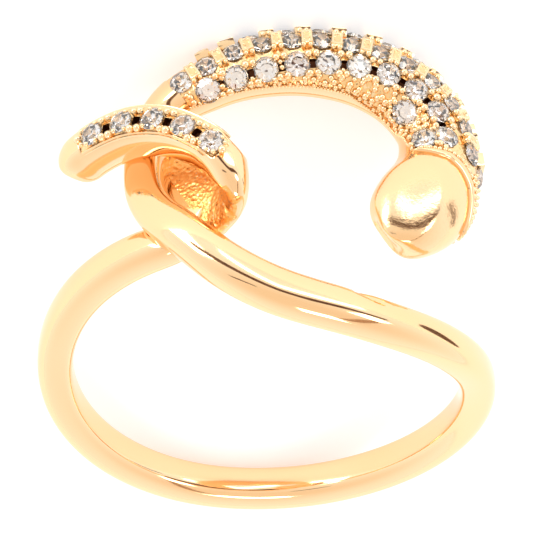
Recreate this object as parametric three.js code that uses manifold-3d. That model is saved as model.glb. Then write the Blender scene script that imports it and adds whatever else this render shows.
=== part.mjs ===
// A gold ring with one continuous band: its right arm crosses the front, runs under a short
// pave bar and opens into a large pave crescent with a plain domed end; its left arm passes
// beneath, turns back on itself as a hook and becomes the bar. Millimetres, +Z up.
import * as THREE from 'three';
import { mergeVertices } from 'three/addons/utils/BufferGeometryUtils.js';
import Module from 'manifold-3d';

// ---- sizes ------------------------------------------------------------------------------
const SIDES = 14;              // points round a band section
const STEPS = 3;               // sections between two stations
const STONE = { girdle: 0.54, table: 0.32, crown: 0.15, edge: 0.04, pavilion: 0.34, sink: 0.05 };
const SEAT_GAP = 0.05;         // clearance between a stone and its seat
const BEAD = { radius: 0.16, rise: 0.17, root: 0.3, sides: 10 };
const GOLD = { color: 0xf4cf97, roughness: 0.22, metalness: 1 };
const CLEAR = { color: 0xe9e6ee, roughness: 0.08, metalness: 0 };

// The band is laid out round the finger with the ring held upright, looking from the front:
// angle in degrees from the top (plus is right), along = distance to the back along the
// finger, radius from the finger's axis, then the section's width, depth and roll.
// From the tip of the crescent, round the shank, to the end of the left arm:
// angle, along, radius, width, depth, roll
const BAND = [
  [29.6, 0.45, 10.5, 0.8, 0.9, -6],
  [30.4, 0.6, 10.65, 2.2, 2.0, -6],
  [32.9, 1.1, 10.8, 3.5, 2.6, -6],
  [37.2, 2.1, 11.0, 4.25, 2.95, -6],
  [41.6, 3.35, 11.1, 4.3, 2.95, -7],
  [43.8, 4.75, 11.15, 4.2, 2.9, -8],
  [43.4, 6.35, 11.1, 4.0, 2.8, -8],
  [39.8, 7.6, 11.0, 3.85, 2.75, -7],
  [33.4, 8.5, 10.85, 3.6, 2.6, -5],
  [25.6, 9.0, 10.65, 3.35, 2.45, -3],
  [18.0, 9.2, 10.45, 3.15, 2.3, -1],
  [8.5, 9.2, 10.3, 2.95, 2.2, 0],
  [-1.0, 9.05, 10.15, 2.8, 2.1, 0],
  [-9.0, 8.75, 10.1, 2.65, 2.0, 0],
  [-16.0, 8.35, 10.05, 2.5, 1.9, 0],
  [-22.5, 7.9, 10.05, 2.3, 1.85, 0],
  [-27.6, 7.0, 10.1, 2.05, 1.8, 0],
  [-30.0, 5.4, 10.3, 1.95, 1.75, 0],
  [-30.3, 3.8, 10.45, 1.9, 1.7, 0],
  [-28.8, 2.3, 10.6, 1.9, 1.7, 0],
  [-25.0, 0.9, 10.75, 1.9, 1.7, 0],
  [-19.0, -0.35, 10.75, 1.95, 1.7, 0],
  [-9.0, -2.1, 10.35, 2.0, 1.7, 0],
  [3.0, -3.15, 9.9, 2.0, 1.7, 0],
  [18.0, -3.5, 9.6, 1.95, 1.65, 0],
  [37.0, -3.4, 9.5, 1.85, 1.65, 0],
  [60.0, -2.6, 9.48, 1.8, 1.65, 0],
  [83.0, -1.5, 9.48, 1.75, 1.65, 0],
  [106.0, -0.8, 9.48, 1.78, 1.65, 0],
  [130.0, -0.4, 9.48, 1.82, 1.65, 0],
  [155.0, -0.22, 9.48, 1.85, 1.65, 0],
  [180.0, -0.25, 9.48, 1.85, 1.65, 0],
  [205.0, -0.4, 9.48, 1.85, 1.65, 0],
  [230.0, -0.4, 9.48, 1.85, 1.65, 0],
  [255.0, -0.2, 9.48, 1.85, 1.65, 0],
  [280.0, 0.15, 9.48, 1.85, 1.65, 0],
  [302.0, 0.4, 9.48, 1.9, 1.65, 0],
  [320.0, 0.45, 9.48, 1.9, 1.65, 0],
  [332.0, 0.45, 9.46, 1.85, 1.6, 0],
  [338.0, 0.55, 9.44, 1.7, 1.45, 0],
];

// From beneath the crossing, round the hook and along the bar to its free end.
// angle, along, radius, width, depth, roll
const HOOK = [
  [-26.0, 2.0, 9.5, 4.0, 1.35, 0],
  [-19.5, 2.6, 9.5, 5.3, 1.3, 0],
  [-13.5, 2.45, 9.65, 4.9, 1.2, 0],
  [-9.4, 2.1, 10.05, 4.0, 1.1, 0],
  [-6.9, 1.95, 10.75, 3.3, 1.1, 0],
  [-6.3, 1.75, 11.4, 2.5, 1.15, 0],
  [-7.6, 1.95, 11.95, 1.9, 1.5, 0],
  [-11.0, 2.85, 12.1, 1.75, 2.1, 0],
  [-15.0, 3.6, 12.15, 1.75, 2.2, 0],
  [-19.4, 4.2, 12.2, 1.8, 2.25, 0],
  [-24.0, 4.6, 12.2, 1.85, 2.25, 0],
  [-29.0, 4.8, 12.2, 1.85, 2.25, 0],
  [-34.0, 4.85, 12.15, 1.85, 2.2, 0],
  [-39.0, 4.85, 12.05, 1.85, 2.15, 0],
  [-42.8, 4.8, 11.95, 1.8, 2.05, 0],
  [-45.6, 4.75, 11.85, 1.35, 1.6, 0],
  [-46.6, 4.7, 11.8, 0.7, 0.8, 0],
];

// Section shapes: how square the outward and the inward half of each section is.
const ROUND = { outer: 2.0, inner: 3.2 };
const SQUARE = { outer: 4.0, inner: 4.0 };

// Rows of stones: count, start and end as lengths along the spine, and the side angles the
// row follows (0 = crown of the section, plus = outer side of the crescent).
const ROWS = {
  front_row: { count: 10, from: 6.0, to: 18.9, side: [-34, -30, -26, -28, -40, -50] },
  top_row: { count: 13, from: 5.8, to: 19.8, side: [12, 6, 10, 20, 18, -5] },
  inner_row: { count: 2, from: 5.6, to: 8.9, side: [-70, -74] },
  back_row: { count: 10, from: 5.6, to: 16.6, side: [56, 66] },
};
const BAR_ROW = { count: 5, from: 6.4, to: 12.2, side: [-3, -5] };

// Bead lines between and beside the rows of the crescent.
const BEAD_ROWS = [
  { count: 9, from: 6.7, to: 18.3, side: [-62, -56, -48, -50, -62, -72] },
  { count: 10, from: 6.3, to: 19.2, side: [-10, -10, -6, -5, -10, -26] },
  { count: 12, from: 6.3, to: 19.2, side: [34, 34, 34, 44, 44, 20] },
  { count: 9, from: 6.3, to: 16.0, side: [82, 88] },
];
const BAR_BEADS = { side: [15, -24], end: -4, inset: 0.75 };

// At rest the ring lies on the back of its shank and crescent: turn, then shift (mm).
const REST_TURN = { x: 63.23, y: -8.08, z: 169.15 };
const REST_SHIFT = [0.664, 2.322, 4.99];

// ---- band ---------------------------------------------------------------------------------
const wasm = await Module();
wasm.setup();

function blend(rows, place) {
  const i = Math.min(Math.floor(place), rows.length - 2);
  const t = place - i;
  const mirror = (a, b) => a.map((v, k) => 2 * v - b[k]);
  const p1 = rows[i];
  const p2 = rows[i + 1];
  const p0 = rows[i - 1] ?? mirror(p1, p2);
  const p3 = rows[i + 2] ?? mirror(p2, p1);
  return p1.map((_, k) => 0.5 * (2 * p1[k] + (p2[k] - p0[k]) * t
    + (2 * p0[k] - 5 * p1[k] + 4 * p2[k] - p3[k]) * t * t
    + (3 * p1[k] - p0[k] - 3 * p2[k] + p3[k]) * t * t * t));
}

function radial(angle) {
  const a = THREE.MathUtils.degToRad(angle);
  return new THREE.Vector3(Math.sin(a), 0, Math.cos(a));
}

function centre([angle, along, radius]) {
  return radial(angle).multiplyScalar(radius).setY(along);
}

// A spine is a list of sections, each with its centre, direction, outward and side axes.
// The hook doubles back, so its side axis follows the finger instead of its outward axis.
function spine(rows, steps, alongFinger = false) {
  const last = (rows.length - 1) * steps;
  const stations = Array.from({ length: last + 1 }, (_, i) => blend(rows, i / steps));
  const points = stations.map(centre);
  let reach = 0;
  return stations.map((row, i) => {
    const before = points[Math.max(i - 1, 0)];
    const after = points[Math.min(i + 1, last)];
    const way = after.clone().sub(before).normalize();
    const out = radial(row[0]);
    const side = new THREE.Vector3(0, 1, 0);
    if (alongFinger) {
      side.addScaledVector(way, -side.dot(way)).normalize();
      out.crossVectors(side, way);
    } else {
      out.addScaledVector(way, -out.dot(way)).normalize();
      side.crossVectors(way, out);
    }
    const roll = THREE.MathUtils.degToRad(row[5]);
    out.applyAxisAngle(way, -roll);
    side.applyAxisAngle(way, -roll);
    if (i > 0) reach += points[i].distanceTo(points[i - 1]);
    return { at: points[i], way, out, side, width: row[3], depth: row[4], reach };
  });
}

function power(value, exponent) {
  return Math.sign(value) * Math.abs(value) ** exponent;
}

function sectionPoint(place, angle, shape) {
  const c = Math.cos(angle);
  const s = Math.sin(angle);
  const e = 2 / (c > 0 ? shape.outer : shape.inner);
  return place.at.clone()
    .addScaledVector(place.out, power(c, e) * place.depth / 2)
    .addScaledVector(place.side, power(s, e) * place.width / 2);
}

function skin(places, shape) {
  const at = [];
  const faces = [];
  for (const place of places) {
    for (let j = 0; j < SIDES; j++) {
      at.push(...sectionPoint(place, 2 * Math.PI * j / SIDES, shape).toArray());
    }
  }
  const last = places.length - 1;
  for (let i = 0; i < last; i++) {
    for (let j = 0; j < SIDES; j++) {
      const a = i * SIDES + j;
      const b = i * SIDES + (j + 1) % SIDES;
      faces.push(a, b, a + SIDES, b, b + SIDES, a + SIDES);
    }
  }
  at.push(...places[0].at.toArray(), ...places[last].at.toArray());
  const hub = places.length * SIDES;
  for (let j = 0; j < SIDES; j++) {
    const k = (j + 1) % SIDES;
    faces.push(hub, k, j, hub + 1, last * SIDES + j, last * SIDES + k);
  }
  const geometry = new THREE.BufferGeometry();
  geometry.setAttribute('position', new THREE.Float32BufferAttribute(at, 3));
  geometry.setIndex(faces);
  return geometry;
}

// ---- places on the surface of the band -----------------------------------------------------
function placeAt(places, reach) {
  let i = places.findIndex((p) => p.reach >= reach);
  i = Math.max(i, 1);
  const a = places[i - 1];
  const b = places[i];
  const t = (reach - a.reach) / (b.reach - a.reach);
  const mix = (key) => a[key].clone().lerp(b[key], t);
  const number = (key) => THREE.MathUtils.lerp(a[key], b[key], t);
  return {
    at: mix('at'), way: mix('way').normalize(), out: mix('out').normalize(),
    side: mix('side').normalize(), width: number('width'), depth: number('depth'),
  };
}

function surface(places, reach, sideAngle, shape) {
  const place = placeAt(places, reach);
  const angle = THREE.MathUtils.degToRad(sideAngle);
  const c = Math.cos(angle);
  const s = Math.sin(angle);
  const e = c > 0 ? shape.outer : shape.inner;
  const at = sectionPoint(place, angle, shape);
  const up = new THREE.Vector3()
    .addScaledVector(place.out, power(c, 2 - 2 / e) / place.depth)
    .addScaledVector(place.side, power(s, 2 - 2 / e) / place.width)
    .normalize();
  const way = place.way.addScaledVector(up, -place.way.dot(up)).normalize();
  const side = new THREE.Vector3().crossVectors(up, way);
  return { at, up, way, side };
}

function sideAt(list, f) {
  const x = f * (list.length - 1);
  const i = Math.min(Math.floor(x), list.length - 2);
  return THREE.MathUtils.lerp(list[i], list[i + 1], x - i);
}

// Evenly spaced places along a row, measured on the surface itself.
function evenPlaces(places, row, shape) {
  const fine = 80;
  const trace = [];
  let travelled = 0;
  for (let i = 0; i <= fine; i++) {
    const f = i / fine;
    const reach = THREE.MathUtils.lerp(row.from, row.to, f);
    const { at } = surface(places, reach, sideAt(row.side, f), shape);
    if (i > 0) travelled += at.distanceTo(trace[i - 1].at);
    trace.push({ at, f, travelled });
  }
  return Array.from({ length: row.count }, (_, n) => {
    const goal = travelled * n / Math.max(row.count - 1, 1);
    const i = Math.max(trace.findIndex((t) => t.travelled >= goal - 1e-9), 1);
    const a = trace[i - 1];
    const b = trace[i];
    const f = THREE.MathUtils.lerp(a.f, b.f, (goal - a.travelled) / (b.travelled - a.travelled));
    const reach = THREE.MathUtils.lerp(row.from, row.to, f);
    return surface(places, reach, sideAt(row.side, f), shape);
  });
}

function stand(place, lift = 0) {
  const turn = new THREE.Matrix4().makeBasis(place.way, place.up, place.side.clone().negate());
  return turn.setPosition(place.at.clone().addScaledVector(place.up, lift));
}

// ---- solids ---------------------------------------------------------------------------------
function turned(points, sides) {
  return new THREE.LatheGeometry(points.map(([x, y]) => new THREE.Vector2(x, y)), sides);
}

function stoneShape() {
  const { girdle, table, crown, edge, pavilion } = STONE;
  return turned([[0, -pavilion], [girdle, -edge / 2], [girdle, edge / 2],
    [table, crown], [0, crown]], 8);
}

function seatShape() {
  const { girdle, edge, pavilion } = STONE;
  const wide = girdle + SEAT_GAP;
  return turned([[0, -pavilion - SEAT_GAP * 1.6], [wide, -edge / 2 - SEAT_GAP / 2],
    [wide, 0.6], [0, 0.6]], 8);
}

function beadShape() {
  const { radius, rise, root, sides } = BEAD;
  return turned([[0, -root], [radius, -root], [radius, rise * 0.5], [radius * 0.5, rise],
    [0, rise]], sides);
}

function bare(geometry) {
  const copy = geometry.clone();
  copy.deleteAttribute('normal');
  copy.deleteAttribute('uv');
  return mergeVertices(copy, 1e-5);
}

function solid(geometry) {
  const clean = bare(geometry);
  return new wasm.Manifold(new wasm.Mesh({
    numProp: 3,
    vertProperties: new Float32Array(clean.attributes.position.array),
    triVerts: new Uint32Array(clean.index.array),
  }));
}

function fromSolid(body) {
  const mesh = body.getMesh();
  const geometry = new THREE.BufferGeometry();
  geometry.setAttribute('position', new THREE.BufferAttribute(mesh.vertProperties, 3));
  geometry.setIndex(new THREE.BufferAttribute(mesh.triVerts, 1));
  geometry.computeVertexNormals();
  return geometry;
}

function gather(shape, places, lift) {
  let all = null;
  for (const place of places) {
    const one = solid(shape.clone().applyMatrix4(stand(place, lift)));
    all = all ? all.add(one) : one;
  }
  return all;
}

// ---- the ring -------------------------------------------------------------------------------
const band = spine(BAND, STEPS);
const hook = spine(HOOK, STEPS, true);

function barBeads() {
  const { from, to, count } = BAR_ROW;
  const half = (to - from) / (count - 1) / 2;
  const beads = [];
  for (const side of BAR_BEADS.side) {
    beads.push(...evenPlaces(hook, { count: count - 1, from: from + half, to: to - half,
      side: [side, side] }, SQUARE));
  }
  for (const reach of [from - BAR_BEADS.inset, to + BAR_BEADS.inset]) {
    beads.push(surface(hook, reach, BAR_BEADS.end, SQUARE));
  }
  return beads;
}

function stonePlaces() {
  const list = {};
  for (const [name, row] of Object.entries(ROWS)) list[name] = evenPlaces(band, row, ROUND);
  list.bar = evenPlaces(hook, BAR_ROW, SQUARE);
  return list;
}

function casting(places) {
  const beads = BEAD_ROWS.flatMap((row) => evenPlaces(band, row, ROUND));
  const body = solid(skin(band, ROUND))
    .add(solid(skin(hook, SQUARE)))
    .add(gather(beadShape(), [...beads, ...barBeads()], 0));
  return body.subtract(gather(seatShape(), Object.values(places).flat(), -STONE.sink));
}

function piece(name, geometry, look) {
  const mesh = new THREE.Mesh(geometry, new THREE.MeshStandardMaterial(look));
  mesh.name = name;
  return mesh;
}

function ring() {
  const upright = new THREE.Group();
  upright.name = 'upright_ring';
  const places = stonePlaces();
  upright.add(piece('ring_casting', fromSolid(casting(places)), GOLD));
  const cut = bare(stoneShape());
  for (const [row, list] of Object.entries(places)) {
    list.forEach((place, i) => {
      const stone = piece(`${row}_stone_${i + 1}`, cut.clone(), CLEAR);
      stone.applyMatrix4(stand(place, -STONE.sink));
      upright.add(stone);
    });
  }
  const { x, y, z } = REST_TURN;
  const radians = THREE.MathUtils.degToRad;
  upright.rotation.set(radians(x), radians(y), radians(z));
  upright.position.set(...REST_SHIFT);
  const lying = new THREE.Group();
  lying.name = 'ring';
  lying.add(upright);
  return lying;
}

export default ring();
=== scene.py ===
import math
import random
from collections import namedtuple

import bmesh
import bpy
from mathutils import Matrix, Vector


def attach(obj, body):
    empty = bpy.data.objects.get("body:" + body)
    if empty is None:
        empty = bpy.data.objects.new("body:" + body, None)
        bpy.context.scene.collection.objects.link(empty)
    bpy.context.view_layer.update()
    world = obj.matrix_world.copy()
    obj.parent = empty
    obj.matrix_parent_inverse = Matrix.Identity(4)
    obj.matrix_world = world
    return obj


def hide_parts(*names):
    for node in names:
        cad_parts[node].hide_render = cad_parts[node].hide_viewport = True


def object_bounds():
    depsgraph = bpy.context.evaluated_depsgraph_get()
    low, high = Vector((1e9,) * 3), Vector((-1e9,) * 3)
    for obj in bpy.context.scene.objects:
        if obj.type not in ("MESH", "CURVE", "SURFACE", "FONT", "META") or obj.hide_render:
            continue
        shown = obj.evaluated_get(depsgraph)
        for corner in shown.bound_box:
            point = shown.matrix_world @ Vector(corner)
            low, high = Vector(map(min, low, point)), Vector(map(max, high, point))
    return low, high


bl_info = {
    "name": "Pave Knot Ring",
    "version": (1, 0, 0),
    "blender": (4, 5, 0),
    "location": "View3D > Sidebar > Ring",
    "description": "Dresses the knot ring with polished gold, pave work and cut stones",
    "category": "Add Mesh",
}

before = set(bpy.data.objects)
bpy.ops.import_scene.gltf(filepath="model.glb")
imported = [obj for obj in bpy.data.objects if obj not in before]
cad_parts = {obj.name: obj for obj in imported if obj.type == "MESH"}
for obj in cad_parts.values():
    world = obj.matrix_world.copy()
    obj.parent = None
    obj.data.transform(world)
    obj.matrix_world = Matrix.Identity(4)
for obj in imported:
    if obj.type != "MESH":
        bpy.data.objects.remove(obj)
CAD_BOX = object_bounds()
MM = 0.001
SEED = 11

# ---- the ring's own frame ----
# The band is laid out with the ring held upright: X right, Y to the back, Z up to the head.
# This turn and shift lay it on its side, as it rests.
TURN = (Matrix.Rotation(math.radians(63.23), 3, "X")
        @ Matrix.Rotation(math.radians(-8.08), 3, "Y")
        @ Matrix.Rotation(math.radians(169.15), 3, "Z"))
SHIFT = Vector((0.664, 2.322, 4.99)) * MM

# From the tip of the crescent, round the shank, to the end of the left arm:
# angle from the top, along the finger, radius, width, depth, roll (degrees and mm)
BAND = [
    (29.6, 0.45, 10.5, 0.8, 0.9, -6), (30.4, 0.6, 10.65, 2.2, 2.0, -6),
    (32.9, 1.1, 10.8, 3.5, 2.6, -6), (37.2, 2.1, 11.0, 4.25, 2.95, -6),
    (41.6, 3.35, 11.1, 4.3, 2.95, -7), (43.8, 4.75, 11.15, 4.2, 2.9, -8),
    (43.4, 6.35, 11.1, 4.0, 2.8, -8), (39.8, 7.6, 11.0, 3.85, 2.75, -7),
    (33.4, 8.5, 10.85, 3.6, 2.6, -5), (25.6, 9.0, 10.65, 3.35, 2.45, -3),
    (18.0, 9.2, 10.45, 3.15, 2.3, -1), (8.5, 9.2, 10.3, 2.95, 2.2, 0),
    (-1.0, 9.05, 10.15, 2.8, 2.1, 0), (-9.0, 8.75, 10.1, 2.65, 2.0, 0),
    (-16.0, 8.35, 10.05, 2.5, 1.9, 0), (-22.5, 7.9, 10.05, 2.3, 1.85, 0),
    (-27.6, 7.0, 10.1, 2.05, 1.8, 0), (-30.0, 5.4, 10.3, 1.95, 1.75, 0),
    (-30.3, 3.8, 10.45, 1.9, 1.7, 0), (-28.8, 2.3, 10.6, 1.9, 1.7, 0),
    (-25.0, 0.9, 10.75, 1.9, 1.7, 0), (-19.0, -0.35, 10.75, 1.95, 1.7, 0),
    (-9.0, -2.1, 10.35, 2.0, 1.7, 0), (3.0, -3.15, 9.9, 2.0, 1.7, 0),
    (18.0, -3.5, 9.6, 1.95, 1.65, 0), (37.0, -3.4, 9.5, 1.85, 1.65, 0),
    (60.0, -2.6, 9.48, 1.8, 1.65, 0), (83.0, -1.5, 9.48, 1.75, 1.65, 0),
    (106.0, -0.8, 9.48, 1.78, 1.65, 0), (130.0, -0.4, 9.48, 1.82, 1.65, 0),
    (155.0, -0.22, 9.48, 1.85, 1.65, 0), (180.0, -0.25, 9.48, 1.85, 1.65, 0),
    (205.0, -0.4, 9.48, 1.85, 1.65, 0), (230.0, -0.4, 9.48, 1.85, 1.65, 0),
    (255.0, -0.2, 9.48, 1.85, 1.65, 0), (280.0, 0.15, 9.48, 1.85, 1.65, 0),
    (302.0, 0.4, 9.48, 1.9, 1.65, 0), (320.0, 0.45, 9.48, 1.9, 1.65, 0),
    (332.0, 0.45, 9.46, 1.85, 1.6, 0), (338.0, 0.55, 9.44, 1.7, 1.45, 0),
]
# From beneath the crossing, round the hook and along the bar to its free end.
HOOK = [
    (-26.0, 2.0, 9.5, 4.0, 1.35, 0), (-19.5, 2.6, 9.5, 5.3, 1.3, 0),
    (-13.5, 2.45, 9.65, 4.9, 1.2, 0), (-9.4, 2.1, 10.05, 4.0, 1.1, 0),
    (-6.9, 1.95, 10.75, 3.3, 1.1, 0), (-6.3, 1.75, 11.4, 2.5, 1.15, 0),
    (-7.6, 1.95, 11.95, 1.9, 1.5, 0), (-11.0, 2.85, 12.1, 1.75, 2.1, 0),
    (-15.0, 3.6, 12.15, 1.75, 2.2, 0), (-19.4, 4.2, 12.2, 1.8, 2.25, 0),
    (-24.0, 4.6, 12.2, 1.85, 2.25, 0), (-29.0, 4.8, 12.2, 1.85, 2.25, 0),
    (-34.0, 4.85, 12.15, 1.85, 2.2, 0), (-39.0, 4.85, 12.05, 1.85, 2.15, 0),
    (-42.8, 4.8, 11.95, 1.8, 2.05, 0), (-45.6, 4.75, 11.85, 1.35, 1.6, 0),
    (-46.6, 4.7, 11.8, 0.7, 0.8, 0),
]
BAND_STEPS = 3  # sections between two stations
HOOK_STEPS = 6

# Section shapes: how square the outward and the inward half of a section is.
ROUND = {"outer": 2.0, "inner": 3.2}
ARM = {"outer": 2.6, "inner": 3.4}  # arms and shank have a soft ridge on each shoulder
FLAT = {"outer": 2.6, "inner": 2.6}  # strips
SQUARE = {"outer": 2.7, "inner": 3.4}  # hook and bar
SECTION_POINTS = 20
ARM_START = 21.0  # where the crescent's section turns into the arm's (mm)
ARM_BLEND = 3.0

# Rows of stones: count, start and end along the band (mm), and the side angles followed.
ROWS = {
    "front_row": (10, 6.0, 18.9, (-34, -30, -26, -28, -40, -50)),
    "top_row": (13, 5.8, 19.8, (12, 6, 10, 20, 18, -5)),
    "inner_row": (2, 5.6, 8.9, (-70, -74)),
    "back_row": (10, 5.6, 16.6, (56, 66)),
}
BAR_ROW = (5, 6.4, 12.2, (-3, -5))
ROW_SCALE = {"top_row": 0.93, "back_row": 0.93}  # width against that of other rows

# Where the pave work ends: reach (length along the band, mm) against side angle along the
# foot, and side angle against reach round the plain dome.
PAVE_FOOT = ((4.2, -85), (5.5, -97), (8.0, -116), (9.9, -110), (11.5, -96), (12.7, -87),
             (14.0, -84), (19.5, -80), (20.3, -76))
DOME_EDGE = ((-120, 5.4), (-80, 4.2), (-55, 4.5), (-27, 4.8), (-7, 4.7), (17, 4.4), (40, 3.8),
             (65, 3.2), (90, 3.0), (130, 2.9))
PAVE_END = 20.2  # reach at the neck (mm)
PAVE_BACK = 108.0  # side angle at the back

# The dome is pressed toward a plane through three spots: reach (mm) and side angle.
DOME_FACET = ((3.3, -30), (1.1, 30), (2.4, -88))
DOME_SECTION = 4  # the section that counts as the dome's middle
DOME_SPAN = 4.0  # how far from its middle the dome is pressed (mm)
DOME_PRESS = 0.5

# Hook and bar: reach (mm) and side angle of each stretch.
BEND_REACH = (3.4, 6.4)
CHANNEL_REACH = (5.75, 13.0)
CHANNEL_SIDE = 50
CHANNEL_BORDER = 0.16
CHANNEL_SINK = 0.08
POCKET_REACH = 5.2
POCKET_SIDE = 100
POCKET_WAY = Vector((0.77, 0.51, 0.385))  # the pocket lies past a plane with this direction
POCKET_EDGE = POCKET_WAY.dot(Vector((-3.86, 6.24, 4.7)))

# Cutters (mm): room round a stone in its seat, the block cut between two stones, and how far
# the middle of each cutter lies below the metal.
SEAT_ROOM = 0.04
SEAT_DROP = 0.25
GAP_SIZE = (0.38, 0.42, 0.7)
GAP_DROP = 0.1

# Cut stone of half width 1: its table's height, half its girdle, and how many facets it has
# at least.
STONE_TABLE = 0.34
STONE_GIRDLE = 0.02
STONE_FACETS = 50
STONE_TILT = 0.07  # most that a stone leans (radians)
BLUSH_STONES = {"front_row": (1, 6, 9), "bar": (1, 6, 9)}

# Lines of beads above the foot of the pave work: side angle above it, pitch (mm), least and
# greatest size.
FOOT_LINES = ((9, 0.36, 0.6, 0.85), (18, 0.44, 0.7, 1.15), (27, 0.5, 0.7, 1.2),
              (37, 0.55, 0.8, 1.3), (47, 0.55, 0.7, 1.2), (57, 0.6, 0.7, 1.1))
FOOT_REACH = (5.2, 19.8)
FOOT_SCATTER = 0.08
STONE_ROOM = 0.6  # least distance of such a bead from a stone's middle (mm)
# Lines of beads round the dome: first side angle, count, distance past its edge (mm)
DOME_LINES = ((-70, 26, 0.22), (20, 14, 0.52), (24, 12, 0.86))
DOME_LINES_END = 100
BACK_LINE = {"count": 46, "start": 3.4, "pitch": 0.365, "side": 99}

# Rungs (mm): length, width and height, and how far they stand above the metal.
RUNGS = {"skyline_rungs": ((0.72, 0.86, 0.42), 0.06), "top_rungs": ((0.5, 0.84, 0.44), 0.04)}
SKYLINE_ENDS = ((17.5, 60), (18.5, 52))
RUNG_SHARE = {"border": 0.2, "wall": 0.04, "sink": 0.16, "floor": 0.45, "bevel": 0.09}

# Rims of the bar's channel: side angle, first and last reach (mm)
RIMS = {"channel_rim_front": (-54, 6.2, 13.1), "channel_rim_back": (54, 13.1, 6.2)}

# ---- the stage ----
# Directions from the ring are as the camera sees them: right, up, and toward the camera.
TILT = math.radians(53)
RIGHT = TURN @ Vector((1, 0, 0))
UPWARD = TURN @ Vector((0, math.sin(TILT), math.cos(TILT)))
BACK = TURN @ Vector((0, -math.cos(TILT), math.sin(TILT)))
AIM = SHIFT + (RIGHT * 0.0448 + UPWARD * 4.439) * MM
CAMERA_DISTANCE = 0.2
LOW_LIGHT = (1.14, 1.25, 1.36)
HIGH_LIGHT = (0.98, 0.9, 0.8)
# Lamps: direction, distance and size (m), power (W)
LAMPS = {
    "key": ((-0.7, 0.8, 0.6), 0.25, 0.1, 0.22),
    "fill": ((0.9, 0.2, 0.7), 0.28, 0.08, 0.1),
    "rim": ((0.1, -0.9, 0.5), 0.28, 0.08, 0.12),
}
LAMP_COLOUR = (1.0, 0.97, 0.93)
LAMP_RISE = 0.15  # least rise of a lamp's direction above the floor
# Covers of the cards that the polished metal mirrors
COVERS = {
    "dark_card": {"Base Color": (0.09, 0.045, 0.03, 1), "Roughness": 0.9},
    "bright_card": {"Base Color": (1, 1, 1, 1), "Emission Color": (1, 1, 1, 1),
                    "Emission Strength": 3.0},
    "soft_card": {"Base Color": (0.36, 0.22, 0.14, 1), "Roughness": 0.9},
}
# Strips: cover, width (m), directions from end to end
SLITS = {
    "dark_slit": ("dark_card", 0.056, (
        (-0.68, 0.58, 0.45), (-0.2, 0.64, 0.74), (0.2, 0.5, 0.84), (0.42, 0.46, 0.78),
        (0.66, 0.48, 0.57), (0.86, 0.36, 0.36))),
    "bright_slit": ("bright_card", 0.035, (
        (-0.1, 0.86, 0.5), (0.26, 0.72, 0.64), (0.5, 0.7, 0.5), (0.72, 0.64, 0.3))),
    "short_slit": ("dark_card", 0.024, (
        (-0.55, -0.02, 0.84), (-0.38, 0.05, 0.92), (-0.2, 0.08, 0.97))),
    "soft_slit": ("soft_card", 0.03, (
        (0.78, 0.0, 0.62), (0.6, -0.35, 0.7), (0.3, -0.74, 0.55))),
}
SLIT_DISTANCE = 0.26
DISC_PLACE = RIGHT * 0.0305 + UPWARD * 0.0038 + BACK * 0.0006

Place = namedtuple("Place", "at way out side width depth reach")
Spot = namedtuple("Spot", "at up way side")


def blend_rows(rows, place):
    """Smooth value between stations, through each of them."""
    i = min(int(place), len(rows) - 2)
    t = place - i
    p1, p2 = rows[i], rows[i + 1]
    p0 = rows[i - 1] if i > 0 else [2 * a - b for a, b in zip(p1, p2)]
    p3 = rows[i + 2] if i + 2 < len(rows) else [2 * b - a for a, b in zip(p1, p2)]
    return [0.5 * (2 * b + (c - a) * t + (2 * a - 5 * b + 4 * c - d) * t * t
                   + (3 * b - a - 3 * c + d) * t ** 3)
            for a, b, c, d in zip(p0, p1, p2, p3)]


def radial(angle):
    """Direction away from the finger's axis, at an angle from the top."""
    a = math.radians(angle)
    return Vector((math.sin(a), 0, math.cos(a)))


def spine(rows, count, along_finger=False):
    """Sections of a band in the resting frame, in metres; count from station to station."""
    last = (len(rows) - 1) * count
    stations = [blend_rows(rows, i / count) for i in range(last + 1)]
    points = [radial(s[0]) * s[2] + Vector((0, s[1], 0)) for s in stations]
    places, reach = [], 0.0
    for i, row in enumerate(stations):
        way = (points[min(i + 1, last)] - points[max(i - 1, 0)]).normalized()
        out = radial(row[0])
        side = Vector((0, 1, 0))
        if along_finger:
            side = (side - way * side.dot(way)).normalized()
            out = side.cross(way)
        else:
            out = (out - way * out.dot(way)).normalized()
            side = way.cross(out)
        roll = Matrix.Rotation(math.radians(-row[5]), 3, way)
        if i:
            reach += (points[i] - points[i - 1]).length
        places.append(Place(TURN @ points[i] * MM + SHIFT, TURN @ way, TURN @ (roll @ out),
                            TURN @ (roll @ side), row[3] * MM, row[4] * MM, reach * MM))
    return places


def power(value, exponent):
    """Power that keeps the sign."""
    return math.copysign(abs(value) ** exponent, value)


def section_point(place, angle, shape):
    """Point of a section's outline."""
    c, s = math.cos(angle), math.sin(angle)
    e = 2 / (shape["outer"] if c > 0 else shape["inner"])
    return (place.at + place.out * (power(c, e) * place.depth / 2)
            + place.side * (power(s, e) * place.width / 2))


def place_at(places, reach):
    """The section at a length along a band (m)."""
    i = max(next((k for k, p in enumerate(places) if p.reach >= reach), len(places) - 1), 1)
    a, b = places[i - 1], places[i]
    t = (reach - a.reach) / (b.reach - a.reach)
    return Place(a.at.lerp(b.at, t), a.way.lerp(b.way, t).normalized(),
                 a.out.lerp(b.out, t).normalized(), a.side.lerp(b.side, t).normalized(),
                 a.width + (b.width - a.width) * t, a.depth + (b.depth - a.depth) * t, reach)


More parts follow.
